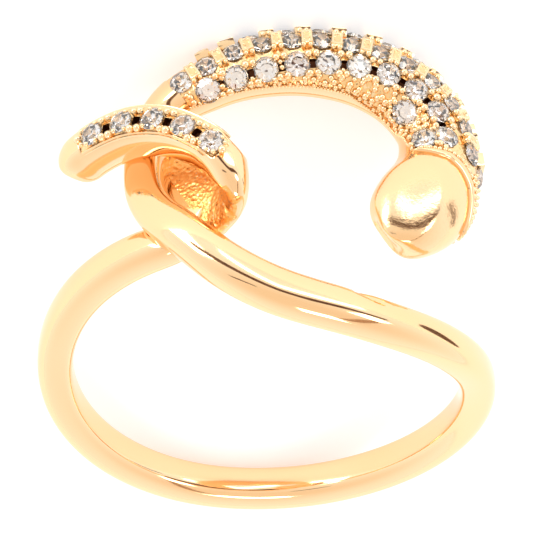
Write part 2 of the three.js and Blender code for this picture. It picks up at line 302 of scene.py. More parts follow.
def surface(places, reach, side_angle, shape):
    """The spot on a band's surface at a length along it (m) and an angle round it."""
    place = place_at(places, reach)
    angle = math.radians(side_angle)
    c, s = math.cos(angle), math.sin(angle)
    e = shape["outer"] if c > 0 else shape["inner"]
    up = (place.out * (power(c, 2 - 2 / e) / place.depth)
          + place.side * (power(s, 2 - 2 / e) / place.width)).normalized()
    way = (place.way - up * place.way.dot(up)).normalized()
    return Spot(section_point(place, angle, shape), up, way, up.cross(way))


def listed(values, f):
    """Value at a share of the way along a list."""
    x = f * (len(values) - 1)
    i = min(int(x), len(values) - 2)
    return values[i] + (values[i + 1] - values[i]) * (x - i)


def steps(first, last, count):
    """Evenly spaced values, both ends included."""
    return [first + (last - first) * i / (count - 1) for i in range(count)]


def table_value(pairs, x):
    """Value between the pairs of a short table."""
    for (x0, y0), (x1, y1) in zip(pairs, pairs[1:]):
        if x <= x1:
            return y0 + (y1 - y0) * max(x - x0, 0) / (x1 - x0)
    return pairs[-1][1]


def even_spots(places, row, shape):
    """Evenly spaced spots along a row, measured on the surface itself."""
    count, start, end, sides = row

    def spot_at(f):
        return surface(places, (start + (end - start) * f) * MM, listed(sides, f), shape)
    fine = 80
    trace = []
    travelled = 0.0
    for i in range(fine + 1):
        f = i / fine
        at = spot_at(f).at
        if i:
            travelled += (at - trace[-1][0]).length
        trace.append((at, f, travelled))
    spots = []
    for goal in steps(0.0, travelled, count):
        i = max(next((k for k, t in enumerate(trace) if t[2] >= goal - 1e-12), fine), 1)
        a, b = trace[i - 1], trace[i]
        f = a[1] + (b[1] - a[1]) * (goal - a[2]) / (b[2] - a[2])
        spots.append(spot_at(f))
    return spots


def stand(spot, lift=0.0, turn=0.0, tilt=(0.0, 0.0), size=(1, 1, 1)):
    """Matrix that stands a piece, modelled upright at the origin, on a spot."""
    basis = Matrix((spot.way, spot.side, spot.up)).transposed().to_4x4()
    basis.translation = spot.at + spot.up * lift
    return (basis @ Matrix.Rotation(turn, 4, "Z") @ Matrix.Rotation(tilt[0], 4, "X")
            @ Matrix.Rotation(tilt[1], 4, "Y") @ Matrix.Diagonal((*size, 1)))


def view_way(way):
    """Direction in the frame of one given as the camera sees it."""
    return (RIGHT * way[0] + UPWARD * way[1] + BACK * way[2]).normalized()


BAND_PLACES = spine(BAND, BAND_STEPS)
HOOK_PLACES = spine(HOOK, HOOK_STEPS, along_finger=True)
STONE_SPOTS = {name: even_spots(BAND_PLACES, row, ROUND) for name, row in ROWS.items()}
STONE_SPOTS["bar"] = even_spots(HOOK_PLACES, BAR_ROW, SQUARE)


# ---- modelling helpers ----
def leave_edit():
    bpy.ops.object.mode_set(mode="OBJECT")


def deselect_all():
    if bpy.context.mode != "OBJECT":
        leave_edit()
    bpy.ops.object.select_all(action="DESELECT")


def only(obj):
    """Selects one object and makes it active."""
    deselect_all()
    obj.select_set(True)
    bpy.context.view_layer.objects.active = obj


def named(name):
    """Names the object that was just made."""
    obj = bpy.context.active_object
    obj.name = name
    obj.data.name = name
    return obj


def apply_place(obj):
    only(obj)
    bpy.ops.object.transform_apply(location=True, rotation=True, scale=True)


def apply_modifier(obj, kind, **values):
    only(obj)
    mod = obj.modifiers.new(kind.lower(), kind)
    for key, value in values.items():
        setattr(mod, key, value)
    bpy.ops.object.modifier_apply(modifier=mod.name)


def edit_faces(obj, test):
    """Opens the mesh with only the faces that pass the test selected; returns how many."""
    only(obj)
    bpy.ops.object.mode_set(mode="EDIT")
    bpy.ops.mesh.select_mode(type="FACE")
    bpy.ops.mesh.select_all(action="DESELECT")
    work = bmesh.from_edit_mesh(obj.data)
    chosen = 0
    for face in work.faces:
        if test(face):
            face.select_set(True)
            chosen += 1
    bmesh.update_edit_mesh(obj.data)
    return chosen


def assign_material(obj, index):
    obj.active_material_index = index
    bpy.ops.object.material_slot_assign()


def paint_faces(obj, test, index):
    """Gives one of the object's materials to the faces that pass the test."""
    edit_faces(obj, test)
    assign_material(obj, index)
    leave_edit()


def sweep(name, places, shape, points):
    """A circle shaped to the first section, then extruded from section to section."""
    first = places[0]
    deselect_all()
    bpy.ops.mesh.primitive_circle_add(vertices=points, radius=first.width / 2,
                                      fill_type="NGON", location=first.at)
    obj = named(name)
    apply_place(obj)
    bpy.ops.object.mode_set(mode="EDIT")
    work = bmesh.from_edit_mesh(obj.data)
    for k, vert in enumerate(work.verts):
        vert.co = section_point(first, 2 * math.pi * k / points, shape)
    bmesh.update_edit_mesh(obj.data)
    bpy.ops.mesh.select_mode(type="FACE")
    bpy.ops.mesh.select_all(action="SELECT")
    for a, b in zip(places, places[1:]):
        extrude_to(a, b)
    turn_outwards()
    return obj


def reshape(obj, places, old, new, start_reach, blend):
    """Presses the sections past a length along the band to another section shape."""
    for vert in obj.data.vertices:
        place = min(places, key=lambda p: (p.at - vert.co).length_squared)
        f = min(max((place.reach / MM - start_reach) / blend, 0.0), 1.0)
        away = vert.co - place.at
        x = away.dot(place.side) * 2 / place.width
        y = away.dot(place.out) * 2 / place.depth
        if f > 0 and abs(x) + abs(y) > 0.5:
            e = (old["outer"] if y > 0 else old["inner"]) / 2
            angle = math.atan2(power(x, e), power(y, e))
            goal = section_point(place, angle, new)
            vert.co = vert.co.lerp(goal, f)


def path_places(spots, width, depth):
    """Sections for a thin strip that lies along spots, narrower toward its ends."""
    places = []
    for i, spot in enumerate(spots):
        way = (spots[min(i + 1, len(spots) - 1)].at - spots[max(i - 1, 0)].at).normalized()
        out = (spot.up - way * spot.up.dot(way)).normalized()
        fade = math.sin(math.pi * (i + 0.6) / (len(spots) + 0.2)) ** 0.6
        places.append(Place(spot.at, way, out, way.cross(out), width * fade, depth, 0.0))
    return places


def axes(place):
    """A section's own axes as the columns of a matrix."""
    return Matrix((place.side, place.out, place.way)).transposed()


def extrude_to(a, b):
    """Extrudes the selected end face from section a to section b."""
    bpy.ops.mesh.extrude_region_move(TRANSFORM_OT_translate={"value": b.at - a.at})
    swing = (axes(b) @ axes(a).transposed()).to_quaternion()
    axis, angle = swing.to_axis_angle()
    if angle > 1e-6:
        across = axis.orthogonal().normalized()
        hinge = Matrix((across, axis.cross(across), axis)).transposed()
        bpy.ops.transform.rotate(value=angle, orient_axis="Z", orient_type="GLOBAL",
                                 constraint_axis=(False, False, True),
                                 orient_matrix=hinge, orient_matrix_type="GLOBAL",
                                 center_override=b.at)
    bpy.ops.transform.resize(value=(b.width / a.width, b.depth / a.depth, 1),
                             orient_type="GLOBAL", orient_matrix=axes(b),
                             orient_matrix_type="GLOBAL", center_override=b.at)


def turn_outwards():
    """Points every face of the mesh being edited outwards, and leaves edit mode."""
    bpy.ops.mesh.select_all(action="SELECT")
    bpy.ops.mesh.normals_make_consistent(inside=False)
    leave_edit()


def copies(name, base, matrices):
    """Copies a modelled piece to each place and joins the copies."""
    made = []
    for matrix in matrices:
        only(base)
        bpy.ops.object.duplicate(linked=False)
        copy = bpy.context.active_object
        copy.matrix_world = matrix
        made.append(copy)
    deselect_all()
    for copy in made:
        copy.select_set(True)
    bpy.context.view_layer.objects.active = made[0]
    bpy.ops.object.transform_apply(location=True, rotation=True, scale=True)
    if len(made) > 1:
        bpy.ops.object.join()
    return named(name)


def drop(obj):
    only(obj)
    bpy.ops.object.delete()


def give(obj, *keys):
    """Gives an object these finishes, in order, in place of what it has."""
    obj.data.materials.clear()
    for key in keys:
        obj.data.materials.append(finishes()[key])


def finish_piece(obj, finish=None, smooth=35, replaces=()):
    """Gives a piece its finish, and makes it part of the ring."""
    only(obj)
    if finish:
        give(obj, finish)
    if smooth:
        bpy.ops.object.shade_smooth_by_angle(angle=math.radians(smooth))
    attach(obj, "root")
    if replaces:
        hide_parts(*replaces)


def nearest(places, point):
    """Length along a band and angle round it of a point."""
    place = min(places, key=lambda p: (p.at - point).length_squared)
    away = point - place.at
    angle = math.degrees(math.atan2(away.dot(place.side) / place.width,
                                    away.dot(place.out) / place.depth))
    return (place.reach + away.dot(place.way)) / MM, angle


def inside_box(point, margin=0.12 * MM):
    """Whether a point lies well inside the part's box."""
    lo, hi = CAD_BOX
    return all(a + margin < p < b - margin for a, p, b in zip(lo, point, hi))


def moved(spot, along, across, rise=0.0):
    """A spot shifted along and across a row (mm)."""
    return Spot(spot.at + (spot.way * along + spot.side * across + spot.up * rise) * MM,
                spot.up, spot.way, spot.side)


def gaps(row):
    """Spots halfway between the stones of a row."""
    made = []
    for a, b in zip(STONE_SPOTS[row], STONE_SPOTS[row][1:]):
        way = (b.at - a.at).normalized()
        up = (a.up + b.up).normalized()
        up = (up - way * up.dot(way)).normalized()
        made.append(Spot((a.at + b.at) / 2, up, way, up.cross(way)))
    return made


def foot_line(start, end, pitch, above):
    """Spots along the foot of the pave work, a side angle above it."""
    return [surface(BAND_PLACES, reach * MM, table_value(PAVE_FOOT, reach) + above, ROUND)
            for reach in steps(start, end, round((end - start) / pitch) + 1)]


def dome_line(start, end, count, past):
    """Spots a distance past the edge of the plain dome, from one side angle to another."""
    return [surface(BAND_PLACES, (table_value(DOME_EDGE, side) + past) * MM, side, ROUND)
            for side in steps(start, end, count)]


# ---- materials ----
GROUPS = {}
FINISHES = {}
WAVE_HEIGHT = 0.04 * MM  # bump of polished metal
GRIT_HEIGHT = 0.06 * MM  # bump of rough metal
STONE_CLOUD = 420.0  # scale of the drift of a stone's colour
STONE_ROUGHNESS = 0.02
STONE_IOR = 2.12


def group(name, inputs, outputs):
    """A node group with its sockets, all plain numbers."""
    tree = bpy.data.node_groups.new(name, "ShaderNodeTree")
    for title, default in inputs.items():
        socket = tree.interface.new_socket(title, in_out="INPUT", socket_type="NodeSocketFloat")
        socket.default_value = default
    for title in outputs:
        tree.interface.new_socket(title, in_out="OUTPUT", socket_type="NodeSocketFloat")
    return tree, tree.nodes.new("NodeGroupInput"), tree.nodes.new("NodeGroupOutput")


def feed(tree, node, values):
    """Sets a node's inputs, by name or number, or links sockets to them."""
    for key, value in values.items():
        if isinstance(value, bpy.types.NodeSocket):
            tree.links.new(value, node.inputs[key])
        else:
            node.inputs[key].default_value = value


def maths(tree, operation, *values):
    """A Math node on numbers or sockets."""
    node = tree.nodes.new("ShaderNodeMath")
    node.operation = operation
    feed(tree, node, dict(enumerate(values)))
    return node.outputs[0]


def noise(tree, vector, scale, detail=2.0, roughness=0.5):
    node = tree.nodes.new("ShaderNodeTexNoise")
    feed(tree, node, {"Vector": vector, "Scale": scale, "Detail": detail,
                      "Roughness": roughness})
    return node.outputs[0]


def ranged(tree, value, low, high, to_low, to_high):
    """A Map Range node."""
    node = tree.nodes.new("ShaderNodeMapRange")
    feed(tree, node, dict(enumerate((value, low, high, to_low, to_high))))
    return node.outputs[0]


def polish_group():
    """Fine wipe marks and faint waviness of polished plating."""
    tree, given, gives = group(
        "polish_marks",
        {"Grain": 900.0, "Wave": 260.0, "Roughness": 0.1, "Spread": 0.05, "Grit": 0.12},
        ("Roughness", "Height", "Mask"))
    given = given.outputs
    at = tree.nodes.new("ShaderNodeTexCoord").outputs["Object"]
    grain = noise(tree, at, given["Grain"], 4.0, 0.6)
    wave = noise(tree, at, given["Wave"], 1.0, 0.4)
    spread = maths(tree, "MULTIPLY", maths(tree, "SUBTRACT", grain, 0.5), given["Spread"])
    grit = maths(tree, "MULTIPLY", grain, given["Grit"])
    feed(tree, gives, {"Roughness": maths(tree, "ADD", given["Roughness"], spread),
                       "Height": maths(tree, "ADD", grit, wave), "Mask": wave})
    return tree


def grit_group():
    """Lumps and pits of unpolished casting, with masks of dark specks for painted shade and of
    bright specks for painted glints.
    """
    tree, given, gives = group("casting_grit", {"Lumps": 3200.0, "Specks": 5200.0},
                               ("Height", "Dark", "Bright"))
    given = given.outputs
    at = tree.nodes.new("ShaderNodeTexCoord").outputs["Object"]
    lumps = noise(tree, at, given["Lumps"], 3.0, 0.6)
    cells = tree.nodes.new("ShaderNodeTexVoronoi")
    feed(tree, cells, {"Vector": at, "Scale": given["Specks"]})
    specks = noise(tree, at, given["Specks"], 1.0)
    pits = maths(tree, "MULTIPLY", cells.outputs[0], 0.6)
    # Dark specks carry painted shade, bright specks painted glints.
    feed(tree, gives, {"Height": maths(tree, "ADD", lumps, pits),
                       "Dark": ranged(tree, specks, 0.34, 0.24, 0.0, 1.0),
                       "Bright": ranged(tree, specks, 0.64, 0.72, 0.0, 1.0)})
    return tree


def add_group(tree, source, **values):
    node = tree.nodes.new("ShaderNodeGroup")
    node.node_tree = source
    feed(tree, node, values)
    return node.outputs


def bump(tree, height, strength, distance):
    node = tree.nodes.new("ShaderNodeBump")
    feed(tree, node, {"Strength": strength, "Distance": distance, "Height": height})
    return node.outputs[0]


def mix_colour(tree, factor, a, b):
    """A mix of two colours or sockets."""
    node = tree.nodes.new("ShaderNodeMix")
    node.data_type = "RGBA"
    a, b = (v if isinstance(v, bpy.types.NodeSocket) else (*v, 1) for v in (a, b))
    feed(tree, node, {"Factor": factor, 6: a, 7: b})
    return node.outputs[2]


def blank(name):
    """A new material with its tree and shader."""
    material = bpy.data.materials.new(name)
    material.use_nodes = True
    tree = material.node_tree
    return material, tree, tree.nodes["Principled BSDF"]


def polished_gold(name, colour, tint, roughness, wave, **marks):
    """Bright plating: its colours, roughness, waviness and any other wipe marks."""
    material, tree, shader = blank(name)
    marks = add_group(tree, GROUPS["polish"], Roughness=roughness, **marks)
    feed(tree, shader, {"Metallic": 1.0, "Roughness": marks["Roughness"],
                        "Base Color": mix_colour(tree, marks["Mask"], colour, tint),
                        "Normal": bump(tree, marks["Height"], wave, WAVE_HEIGHT)})
    return material


def rough_gold(name, colour, dark, bright, roughness, depth):
    """Unpolished metal: its colour, that of the painted shade on dark specks and of the painted
    glints on bright specks, roughness and depth.
    """
    material, tree, shader = blank(name)
    grit = add_group(tree, GROUPS["grit"])
    shaded = mix_colour(tree, grit["Dark"], colour, dark)
    feed(tree, shader, {"Metallic": 1.0, "Roughness": roughness,
                        "Base Color": mix_colour(tree, grit["Bright"], shaded, bright),
                        "Normal": bump(tree, grit["Height"], depth, GRIT_HEIGHT)})
    return material


def clear_stone(name, colour, tint):
    material, tree, shader = blank(name)
    at = tree.nodes.new("ShaderNodeTexCoord").outputs["Object"]
    cloud = ranged(tree, noise(tree, at, STONE_CLOUD, 1.0), 0.35, 0.65, 0.0, 1.0)
    shader.inputs["Roughness"].default_value = STONE_ROUGHNESS
    shader.inputs["IOR"].default_value = STONE_IOR
    shader.inputs["Transmission Weight"].default_value = 1.0
    feed(tree, shader, {"Base Color": mix_colour(tree, cloud, colour, tint)})
    return material


def finishes():
    """The ring's finishes, made once from the panel's colours."""
    if FINISHES:
        return FINISHES
    GROUPS.update(polish=polish_group(), grit=grit_group())
    look = bpy.context.scene.knot_ring
    FINISHES.update(
        gold=polished_gold("polished_gold", look.gold, look.gold_tint, 0.09, 0.12),
        dome=polished_gold("dome_gold", look.gold, look.gold_tint, 0.12, 0.3, Grain=5000.0,
                           Grit=0.9),
        # Beads, rims and rungs take a lighter gold: a painted highlight.
        bead=polished_gold("bead_gold", look.highlight_gold, look.gold, 0.14, 0.3),
        # Seats take a near-white gold: painted light that brightens the stones set over them.
        seat=polished_gold("seat_gold", look.seat, look.highlight_gold, 0.25, 0.2),
        # Rough metal: dark specks painted as shade, bright specks painted as glints.
        pave=rough_gold("pave_gold", look.pave_gold, look.shadow_gold, look.highlight_gold,
                        0.22, 0.6),
        # The hook's pocket: unpolished casting, its darker orange colour a painted shade.
        cast=rough_gold("cast_gold", look.cast_gold, look.shadow_gold, look.highlight_gold,
                        0.34, 0.9),
        # Dark brown metal in the gaps between stones: painted shade.
        recess=rough_gold("recess_gold", look.recess, look.shadow_gold, look.recess, 0.5, 0.5),
        stone=clear_stone("clear_stone", look.stone, look.stone_tint),
        blush=clear_stone("blush_stone", look.stone_blush, look.stone_tint))
    return FINISHES


# ---- settings ----
def length(name, text, default):
    return bpy.props.FloatProperty(name=name, description=text, default=default, precision=5,
                                   subtype="DISTANCE", unit="LENGTH")


def colour(name, text, default):
    return bpy.props.FloatVectorProperty(name=name, description=text, default=default, size=3,
                                         min=0.0, max=1.0, subtype="COLOR")


class KnotRingSettings(bpy.types.PropertyGroup):
    """Sizes and colours that a user may change."""
    stone_width: length("Stone width", "Width of a cut stone at its girdle", 0.00115)
    stone_sink: length("Stone depth", "How far a girdle sits below the metal", 0.00004)
    bead_width: length("Bead width", "Width of a setting bead", 0.0003)
    gold: colour("Gold", "Colour of the polished plating", (1.0, 0.68, 0.39))
    gold_tint: colour("Gold tint", "Colour that the plating drifts to", (1.0, 0.65, 0.35))
    # Lighter gold: painted highlight on beads, rims and rungs, and painted glints on rough
    # metal.
    highlight_gold: colour("Bright gold", "Colour of beads and burnished spots", (0.99, 0.78, 0.49))
    pave_gold: colour("Pave gold", "Colour of the metal between the stones", (0.98, 0.66, 0.33))
    # Darker orange gold in the hook's pocket: unpolished casting, with painted shade in its
    # colour.
    cast_gold: colour("Cast gold", "Colour of unpolished metal in the hook", (1.0, 0.54, 0.18))
    # Darker gold painted as shade in the pits and specks of rough metal.
    shadow_gold: colour("Shadow gold", "Colour of pits in rough metal", (0.5, 0.22, 0.07))
    # Near-white gold under each stone: painted light that brightens the stones.
    seat: colour("Seat", "Colour of the bright cut under each stone", (1.0, 0.93, 0.86))
    # Near-black brown: painted shade deep in the gaps between the stones.
    recess: colour("Recess", "Colour deep between the stones", (0.16, 0.06, 0.03))
    stone: colour("Stone", "Colour of the clear stones", (1.0, 0.975, 0.96))
    stone_tint: colour("Stone tint", "Colour that the stones drift to", (0.96, 0.9, 0.88))
    stone_blush: colour("Blush stone", "Colour of the slightly pink stones", (1.0, 0.9, 0.86))
    floor: colour("Floor", "Colour of the floor", (0.93, 0.93, 0.93))


class RingOperator:
    bl_options = {"REGISTER", "UNDO"}

    @property
    def look(self):
        return bpy.context.scene.knot_ring


# ---- operators ----
def press_dome(obj):
    """Flattens the near side of the dome a little, which leaves a soft crease beside it."""
    a, b, c = (surface(BAND_PLACES, reach * MM, side, ROUND).at for reach, side in DOME_FACET)
    normal = (b - a).cross(c - a).normalized()
    middle = BAND_PLACES[DOME_SECTION].at
    if normal.dot(a - middle) < 0:
        normal.negate()
    for vert in obj.data.vertices:
        height = normal.dot(vert.co - a)
        if height > 0 and (vert.co - middle).length < DOME_SPAN * MM:
            vert.co -= normal * height * DOME_PRESS


def cut(body, cutter, base, spots, drop_mm):
    """Cuts a copy of the cutter out of the body at each spot."""
    made = copies(cutter, base, [stand(s, -drop_mm * MM) for s in spots])
    apply_modifier(body, "BOOLEAN", operation="DIFFERENCE", object=made, solver="MANIFOLD",
                   material_mode="TRANSFER")
    drop(made)
    drop(base)


def cut_seats(body, stones, slots, look):
    """Cuts a seat under each stone and a square gap between stones."""
    deselect_all()
    bpy.ops.mesh.primitive_cone_add(vertices=20, radius1=0.12 * MM,
                                    radius2=look.stone_width / 2 + SEAT_ROOM * MM,
                                    depth=0.7 * MM, location=(0, 0, 0))
    seat = named("seat_cutter")
    # The seat faces take the near-white painted light.
    give(seat, "seat")
    cut(body, "seats", seat, stones, SEAT_DROP)
    deselect_all()
    bpy.ops.mesh.primitive_cube_add(size=1, location=(0, 0, 0))
    slot = named("gap_cutter")
    slot.scale = [v * MM for v in GAP_SIZE]
    apply_place(slot)
    apply_modifier(slot, "BEVEL", width=0.06 * MM, segments=2)
    # The gap faces take the dark brown painted shade.
    give(slot, "recess")
    cut(body, "gaps", slot, slots, GAP_DROP)


class RING_OT_band(RingOperator, bpy.types.Operator):
    """Builds the band: crescent with its sunk pave floor, both arms and the shank"""
    bl_idname = "ring.band"
    bl_label = "Band and crescent"

    def execute(self, context):
        band = sweep("ring_band", BAND_PLACES, ROUND, SECTION_POINTS)
        give(band, "gold", "pave", "dome")
        reshape(band, BAND_PLACES, ROUND, ARM, ARM_START, ARM_BLEND)
        apply_modifier(band, "SUBSURF", levels=2, render_levels=2)
        press_dome(band)

        def in_dome(face):
            reach, angle = nearest(BAND_PLACES, face.calc_center_median())
            return reach < table_value(DOME_EDGE, angle)

        def in_pave(face):
            reach, angle = nearest(BAND_PLACES, face.calc_center_median())
            return (table_value(DOME_EDGE, angle) < reach < PAVE_END
                    and table_value(PAVE_FOOT, reach) < angle < PAVE_BACK)
        paint_faces(band, in_dome, 2)
        if not edit_faces(band, in_pave):
            raise RuntimeError("the crescent has no face for its pave floor")
        bpy.ops.mesh.inset(thickness=0.03 * MM, depth=-0.05 * MM, use_boundary=True)
        assign_material(band, 1)
        leave_edit()
        stones = [s for row, spots in STONE_SPOTS.items() if row != "bar" for s in spots]
        cut_seats(band, stones, gaps("front_row"), self.look)
        finish_piece(band, smooth=38, replaces=("ring_casting",))
        return {"FINISHED"}


class RING_OT_hook(RingOperator, bpy.types.Operator):
    """Builds the hook and the bar with its sunk, bordered pave channel"""
    bl_idname = "ring.hook"
    bl_label = "Hook and bar"

    def execute(self, context):
        hook = sweep("ring_hook_bar", HOOK_PLACES, SQUARE, SECTION_POINTS)
        # Slot 2 is the dark brown painted shade of the gaps; slot 3 is unpolished metal for the
        # pocket, darkened to orange as painted shade.
        give(hook, "gold", "pave", "recess", "cast")

        def in_bend(face):
            reach = nearest(HOOK_PLACES, face.calc_center_median())[0]
            return BEND_REACH[0] < reach < BEND_REACH[1]

        def in_pocket(face):
            middle = face.calc_center_median()
            reach, angle = nearest(HOOK_PLACES, middle)
            upright = TURN.inverted() @ (middle - SHIFT)
            return (reach < POCKET_REACH and abs(angle) > POCKET_SIDE
                    and upright.dot(POCKET_WAY) > POCKET_EDGE * MM)

        def in_channel(face):
            reach, angle = nearest(HOOK_PLACES, face.calc_center_median())
            return (CHANNEL_REACH[0] < reach < CHANNEL_REACH[1]
                    and abs(angle) < CHANNEL_SIDE)
        edit_faces(hook, in_bend)
        bpy.ops.mesh.vertices_smooth(factor=0.5, repeat=5)
        leave_edit()
        # The pocket faces take unpolished metal with its painted orange shade.
        paint_faces(hook, in_pocket, 3)
        if not edit_faces(hook, in_channel):
            raise RuntimeError("the bar has no face for its pave channel")
        bpy.ops.mesh.inset(thickness=CHANNEL_BORDER * MM, depth=0.0, use_boundary=True)
        bpy.ops.mesh.inset(thickness=0.02 * MM, depth=-CHANNEL_SINK * MM, use_boundary=True)
        assign_material(hook, 1)
        leave_edit()
        apply_modifier(hook, "SUBSURF", levels=2, render_levels=2)
        cut_seats(hook, STONE_SPOTS["bar"], gaps("bar"), self.look)
        finish_piece(hook, smooth=38)
        return {"FINISHED"}


def facets(count, offset, tilt, distance):
    """Cuts a ring of facets: planes at a tilt from upright, a distance from the middle."""
    tilt = math.radians(tilt)
    for k in range(count):
        turn = 2 * math.pi * (k + offset) / count
        normal = Vector((math.sin(tilt) * math.cos(turn), math.sin(tilt) * math.sin(turn),
                         math.cos(tilt)))
        bpy.ops.mesh.select_all(action="SELECT")
        bpy.ops.mesh.bisect(plane_co=normal * distance, plane_no=normal, use_fill=True,
                            clear_outer=True, threshold=1e-6)


def girdle_facets(count, offset, tilt, share):
    """Cuts a ring of facets that pass the girdle's edge at a share of the half width."""
    distance = math.sin(math.radians(tilt)) * share + STONE_GIRDLE
    facets(count, offset, tilt, distance)


class RING_OT_stones(RingOperator, bpy.types.Operator):
    """Cuts one round stone facet by facet and sets a copy in each seat"""
    bl_idname = "ring.stones"
    bl_label = "Cut stones"

    def execute(self, context):
        deselect_all()
        bpy.ops.mesh.primitive_cylinder_add(vertices=32, radius=1.0, depth=3.0,
                                            location=(0, 0, 0))
        gem = named("round_stone")
        bpy.ops.object.mode_set(mode="EDIT")
        bpy.ops.mesh.select_mode(type="VERT")
        star = STONE_TABLE * math.cos(math.radians(18)) + 0.175
        facets(1, 0, 0, STONE_TABLE)
        girdle_facets(8, 0, 33, 0.97)  # crown
        facets(8, 0.5, 18, star)
        girdle_facets(16, 0.5, 41, 0.985)
        girdle_facets(8, 0, 180 - 40.5, 0.97)  # pavilion
        girdle_facets(16, 0.5, 180 - 43, 0.985)
        bpy.ops.mesh.select_all(action="SELECT")
        bpy.ops.mesh.dissolve_limited(angle_limit=math.radians(0.5))
        turn_outwards()
        if len(gem.data.polygons) < STONE_FACETS:
            raise RuntimeError("the stone has too few facets")
        rng = random.Random(SEED)
        for row, spots in STONE_SPOTS.items():
            size = self.look.stone_width / 2 * ROW_SCALE.get(row, 1.0)
            for i, spot in enumerate(spots):
                matrix = stand(spot, -self.look.stone_sink, rng.uniform(0, math.pi / 4),
                               (rng.uniform(-STONE_TILT, STONE_TILT),
                                rng.uniform(-STONE_TILT, STONE_TILT)), (size, size, size))
                stone = copies(f"cut_{row}_stone_{i + 1}", gem, [matrix])
                finish = "blush" if i in BLUSH_STONES.get(row, ()) else "stone"
                finish_piece(stone, finish, 0,
                             (f"{row}_stone_{i + 1}",))
        drop(gem)
        return {"FINISHED"}


class BeadPlaces:
    """Collects where each bead stands, a little unevenly."""

    def __init__(self):
        self.rng = random.Random(SEED + 1)
        self.made = []

    def add(self, spot, size, tall=1.0):
        rng = self.rng
        size *= rng.uniform(0.88, 1.1)
        self.made.append(stand(
            moved(spot, rng.uniform(-0.02, 0.02), rng.uniform(-0.02, 0.02)),
            0.0, rng.uniform(0, 3), (rng.uniform(-0.15, 0.15), rng.uniform(-0.15, 0.15)),
            (size, size * rng.uniform(0.9, 1.1), size * tall)))

    def between(self, rows, across, along, size, tall=1.0, rise=0.0):
        """Beads in the gaps of rows, at places across and along each gap (mm)."""
        for row in rows:
            for spot in gaps(row):
                for a in across:
                    for b in along:
                        self.add(moved(spot, b, a, rise), size, tall)

    def around(self, row, turns, along, across, size):
        """Beads round each stone of a row, at half widths along and across it (mm)."""
        for spot in STONE_SPOTS[row]:
            for turn in turns:
                self.add(moved(spot, along * math.cos(turn), across * math.sin(turn)), size)

    def bar_end(self, spot, sign):
        """Three beads that close the bar's row past its first or last stone."""
        self.add(moved(spot, sign * 0.74, 0.0), 1.25)
        for across in (-0.33, 0.33):
            self.add(moved(spot, sign * 0.55, across), 0.8)

    def foot(self):
        """Scattered beads above the foot of the pave work, clear of the stones."""
        stones = [s.at for spots in STONE_SPOTS.values() for s in spots]
        for above, pitch, low, high in FOOT_LINES:
            for spot in foot_line(*FOOT_REACH, pitch, above):
                spot = moved(spot, self.rng.uniform(-FOOT_SCATTER, FOOT_SCATTER),
                             self.rng.uniform(-FOOT_SCATTER, FOOT_SCATTER))
                if min((spot.at - s).length for s in stones) > STONE_ROOM * MM:
                    self.add(spot, self.rng.uniform(low, high), 0.9)

    def lines(self):
        """Lines of beads round the dome and along the back."""
        for side, count, past in DOME_LINES:
            for spot in dome_line(side, DOME_LINES_END, count, past):
                self.add(spot, 0.8)
        for i in range(BACK_LINE["count"]):
            reach = BACK_LINE["start"] + i * BACK_LINE["pitch"]
            self.add(surface(BAND_PLACES, reach * MM, BACK_LINE["side"], ROUND), 0.7)


class RING_OT_beads(RingOperator, bpy.types.Operator):
    """Raises the setting beads beside the stones and along the foot of the pave work"""
    bl_idname = "ring.beads"
    bl_label = "Setting beads"

    def execute(self, context):
        deselect_all()
        bpy.ops.mesh.primitive_uv_sphere_add(segments=8, ring_count=6,
                                             radius=self.look.bead_width / 2,
                                             location=(0, 0, 0))
        bead = named("setting_bead")
        beads = BeadPlaces()
        beads.between(("front_row", "bar"), (-0.45, 0.45), (-0.17, 0.17), 1.25)
        beads.bar_end(STONE_SPOTS["bar"][0], -1)
        beads.bar_end(STONE_SPOTS["bar"][-1], 1)
        beads.between(("top_row", "back_row"), (-0.45, -0.14, 0.18, 0.45), (-0.15, 0.15), 0.9,
                      tall=1.2, rise=0.07)
        beads.around("bar", [math.pi * k / 3 for k in (1, 2, 4, 5)], 0.5, 0.52, 0.75)
        beads.around("inner_row", [2 * math.pi * k / 9 for k in range(9)], 0.66, 0.66, 0.85)
        beads.foot()
        beads.lines()
        self.place("setting_beads", bead, beads.made)
        line = foot_line(start=4.4, end=20.1, pitch=0.165, above=2.0)
        self.place("milled_line", bead, [stand(s, lift=0.02 * MM, size=(0.5, 0.5, 0.5))
                                         for s in line])
        drop(bead)
        return {"FINISHED"}

    def place(self, name, bead, matrices):
        piece = copies(name, bead, [m for m in matrices if inside_box(m.translation)])
        finish_piece(piece, "bead", 60)


def raise_rungs(name, spots):
    """Builds one sunk-topped rung and stands a copy on each spot."""
    size, rise = RUNGS[name]
    along, across, tall = (v * MM for v in size)
    deselect_all()
    bpy.ops.mesh.primitive_cube_add(size=1, location=(0, 0, 0))
    rung = named("rung")
    rung.scale = (along, across, tall)
    apply_place(rung)
    edit_faces(rung, lambda face: face.normal.z > 0.9)
    bpy.ops.mesh.inset(thickness=along * RUNG_SHARE["border"], depth=0)
    bpy.ops.mesh.inset(thickness=along * RUNG_SHARE["wall"], depth=-tall * RUNG_SHARE["sink"])
    leave_edit()
    give(rung, "bead", "pave")
    paint_faces(rung, lambda face: face.normal.z > 0.9
                and face.calc_center_median().z < tall * RUNG_SHARE["floor"], 1)
    apply_modifier(rung, "BEVEL", width=along * RUNG_SHARE["bevel"], segments=2)
    rng = random.Random(SEED + 2)
    made = copies(name, rung, [
        stand(s, rise * MM, 0.0, (rng.uniform(-0.06, 0.06), rng.uniform(-0.06, 0.06)),
              (rng.uniform(0.92, 1.06), rng.uniform(0.94, 1.05), 1)) for s in spots])
    drop(rung)
    finish_piece(made, smooth=40)


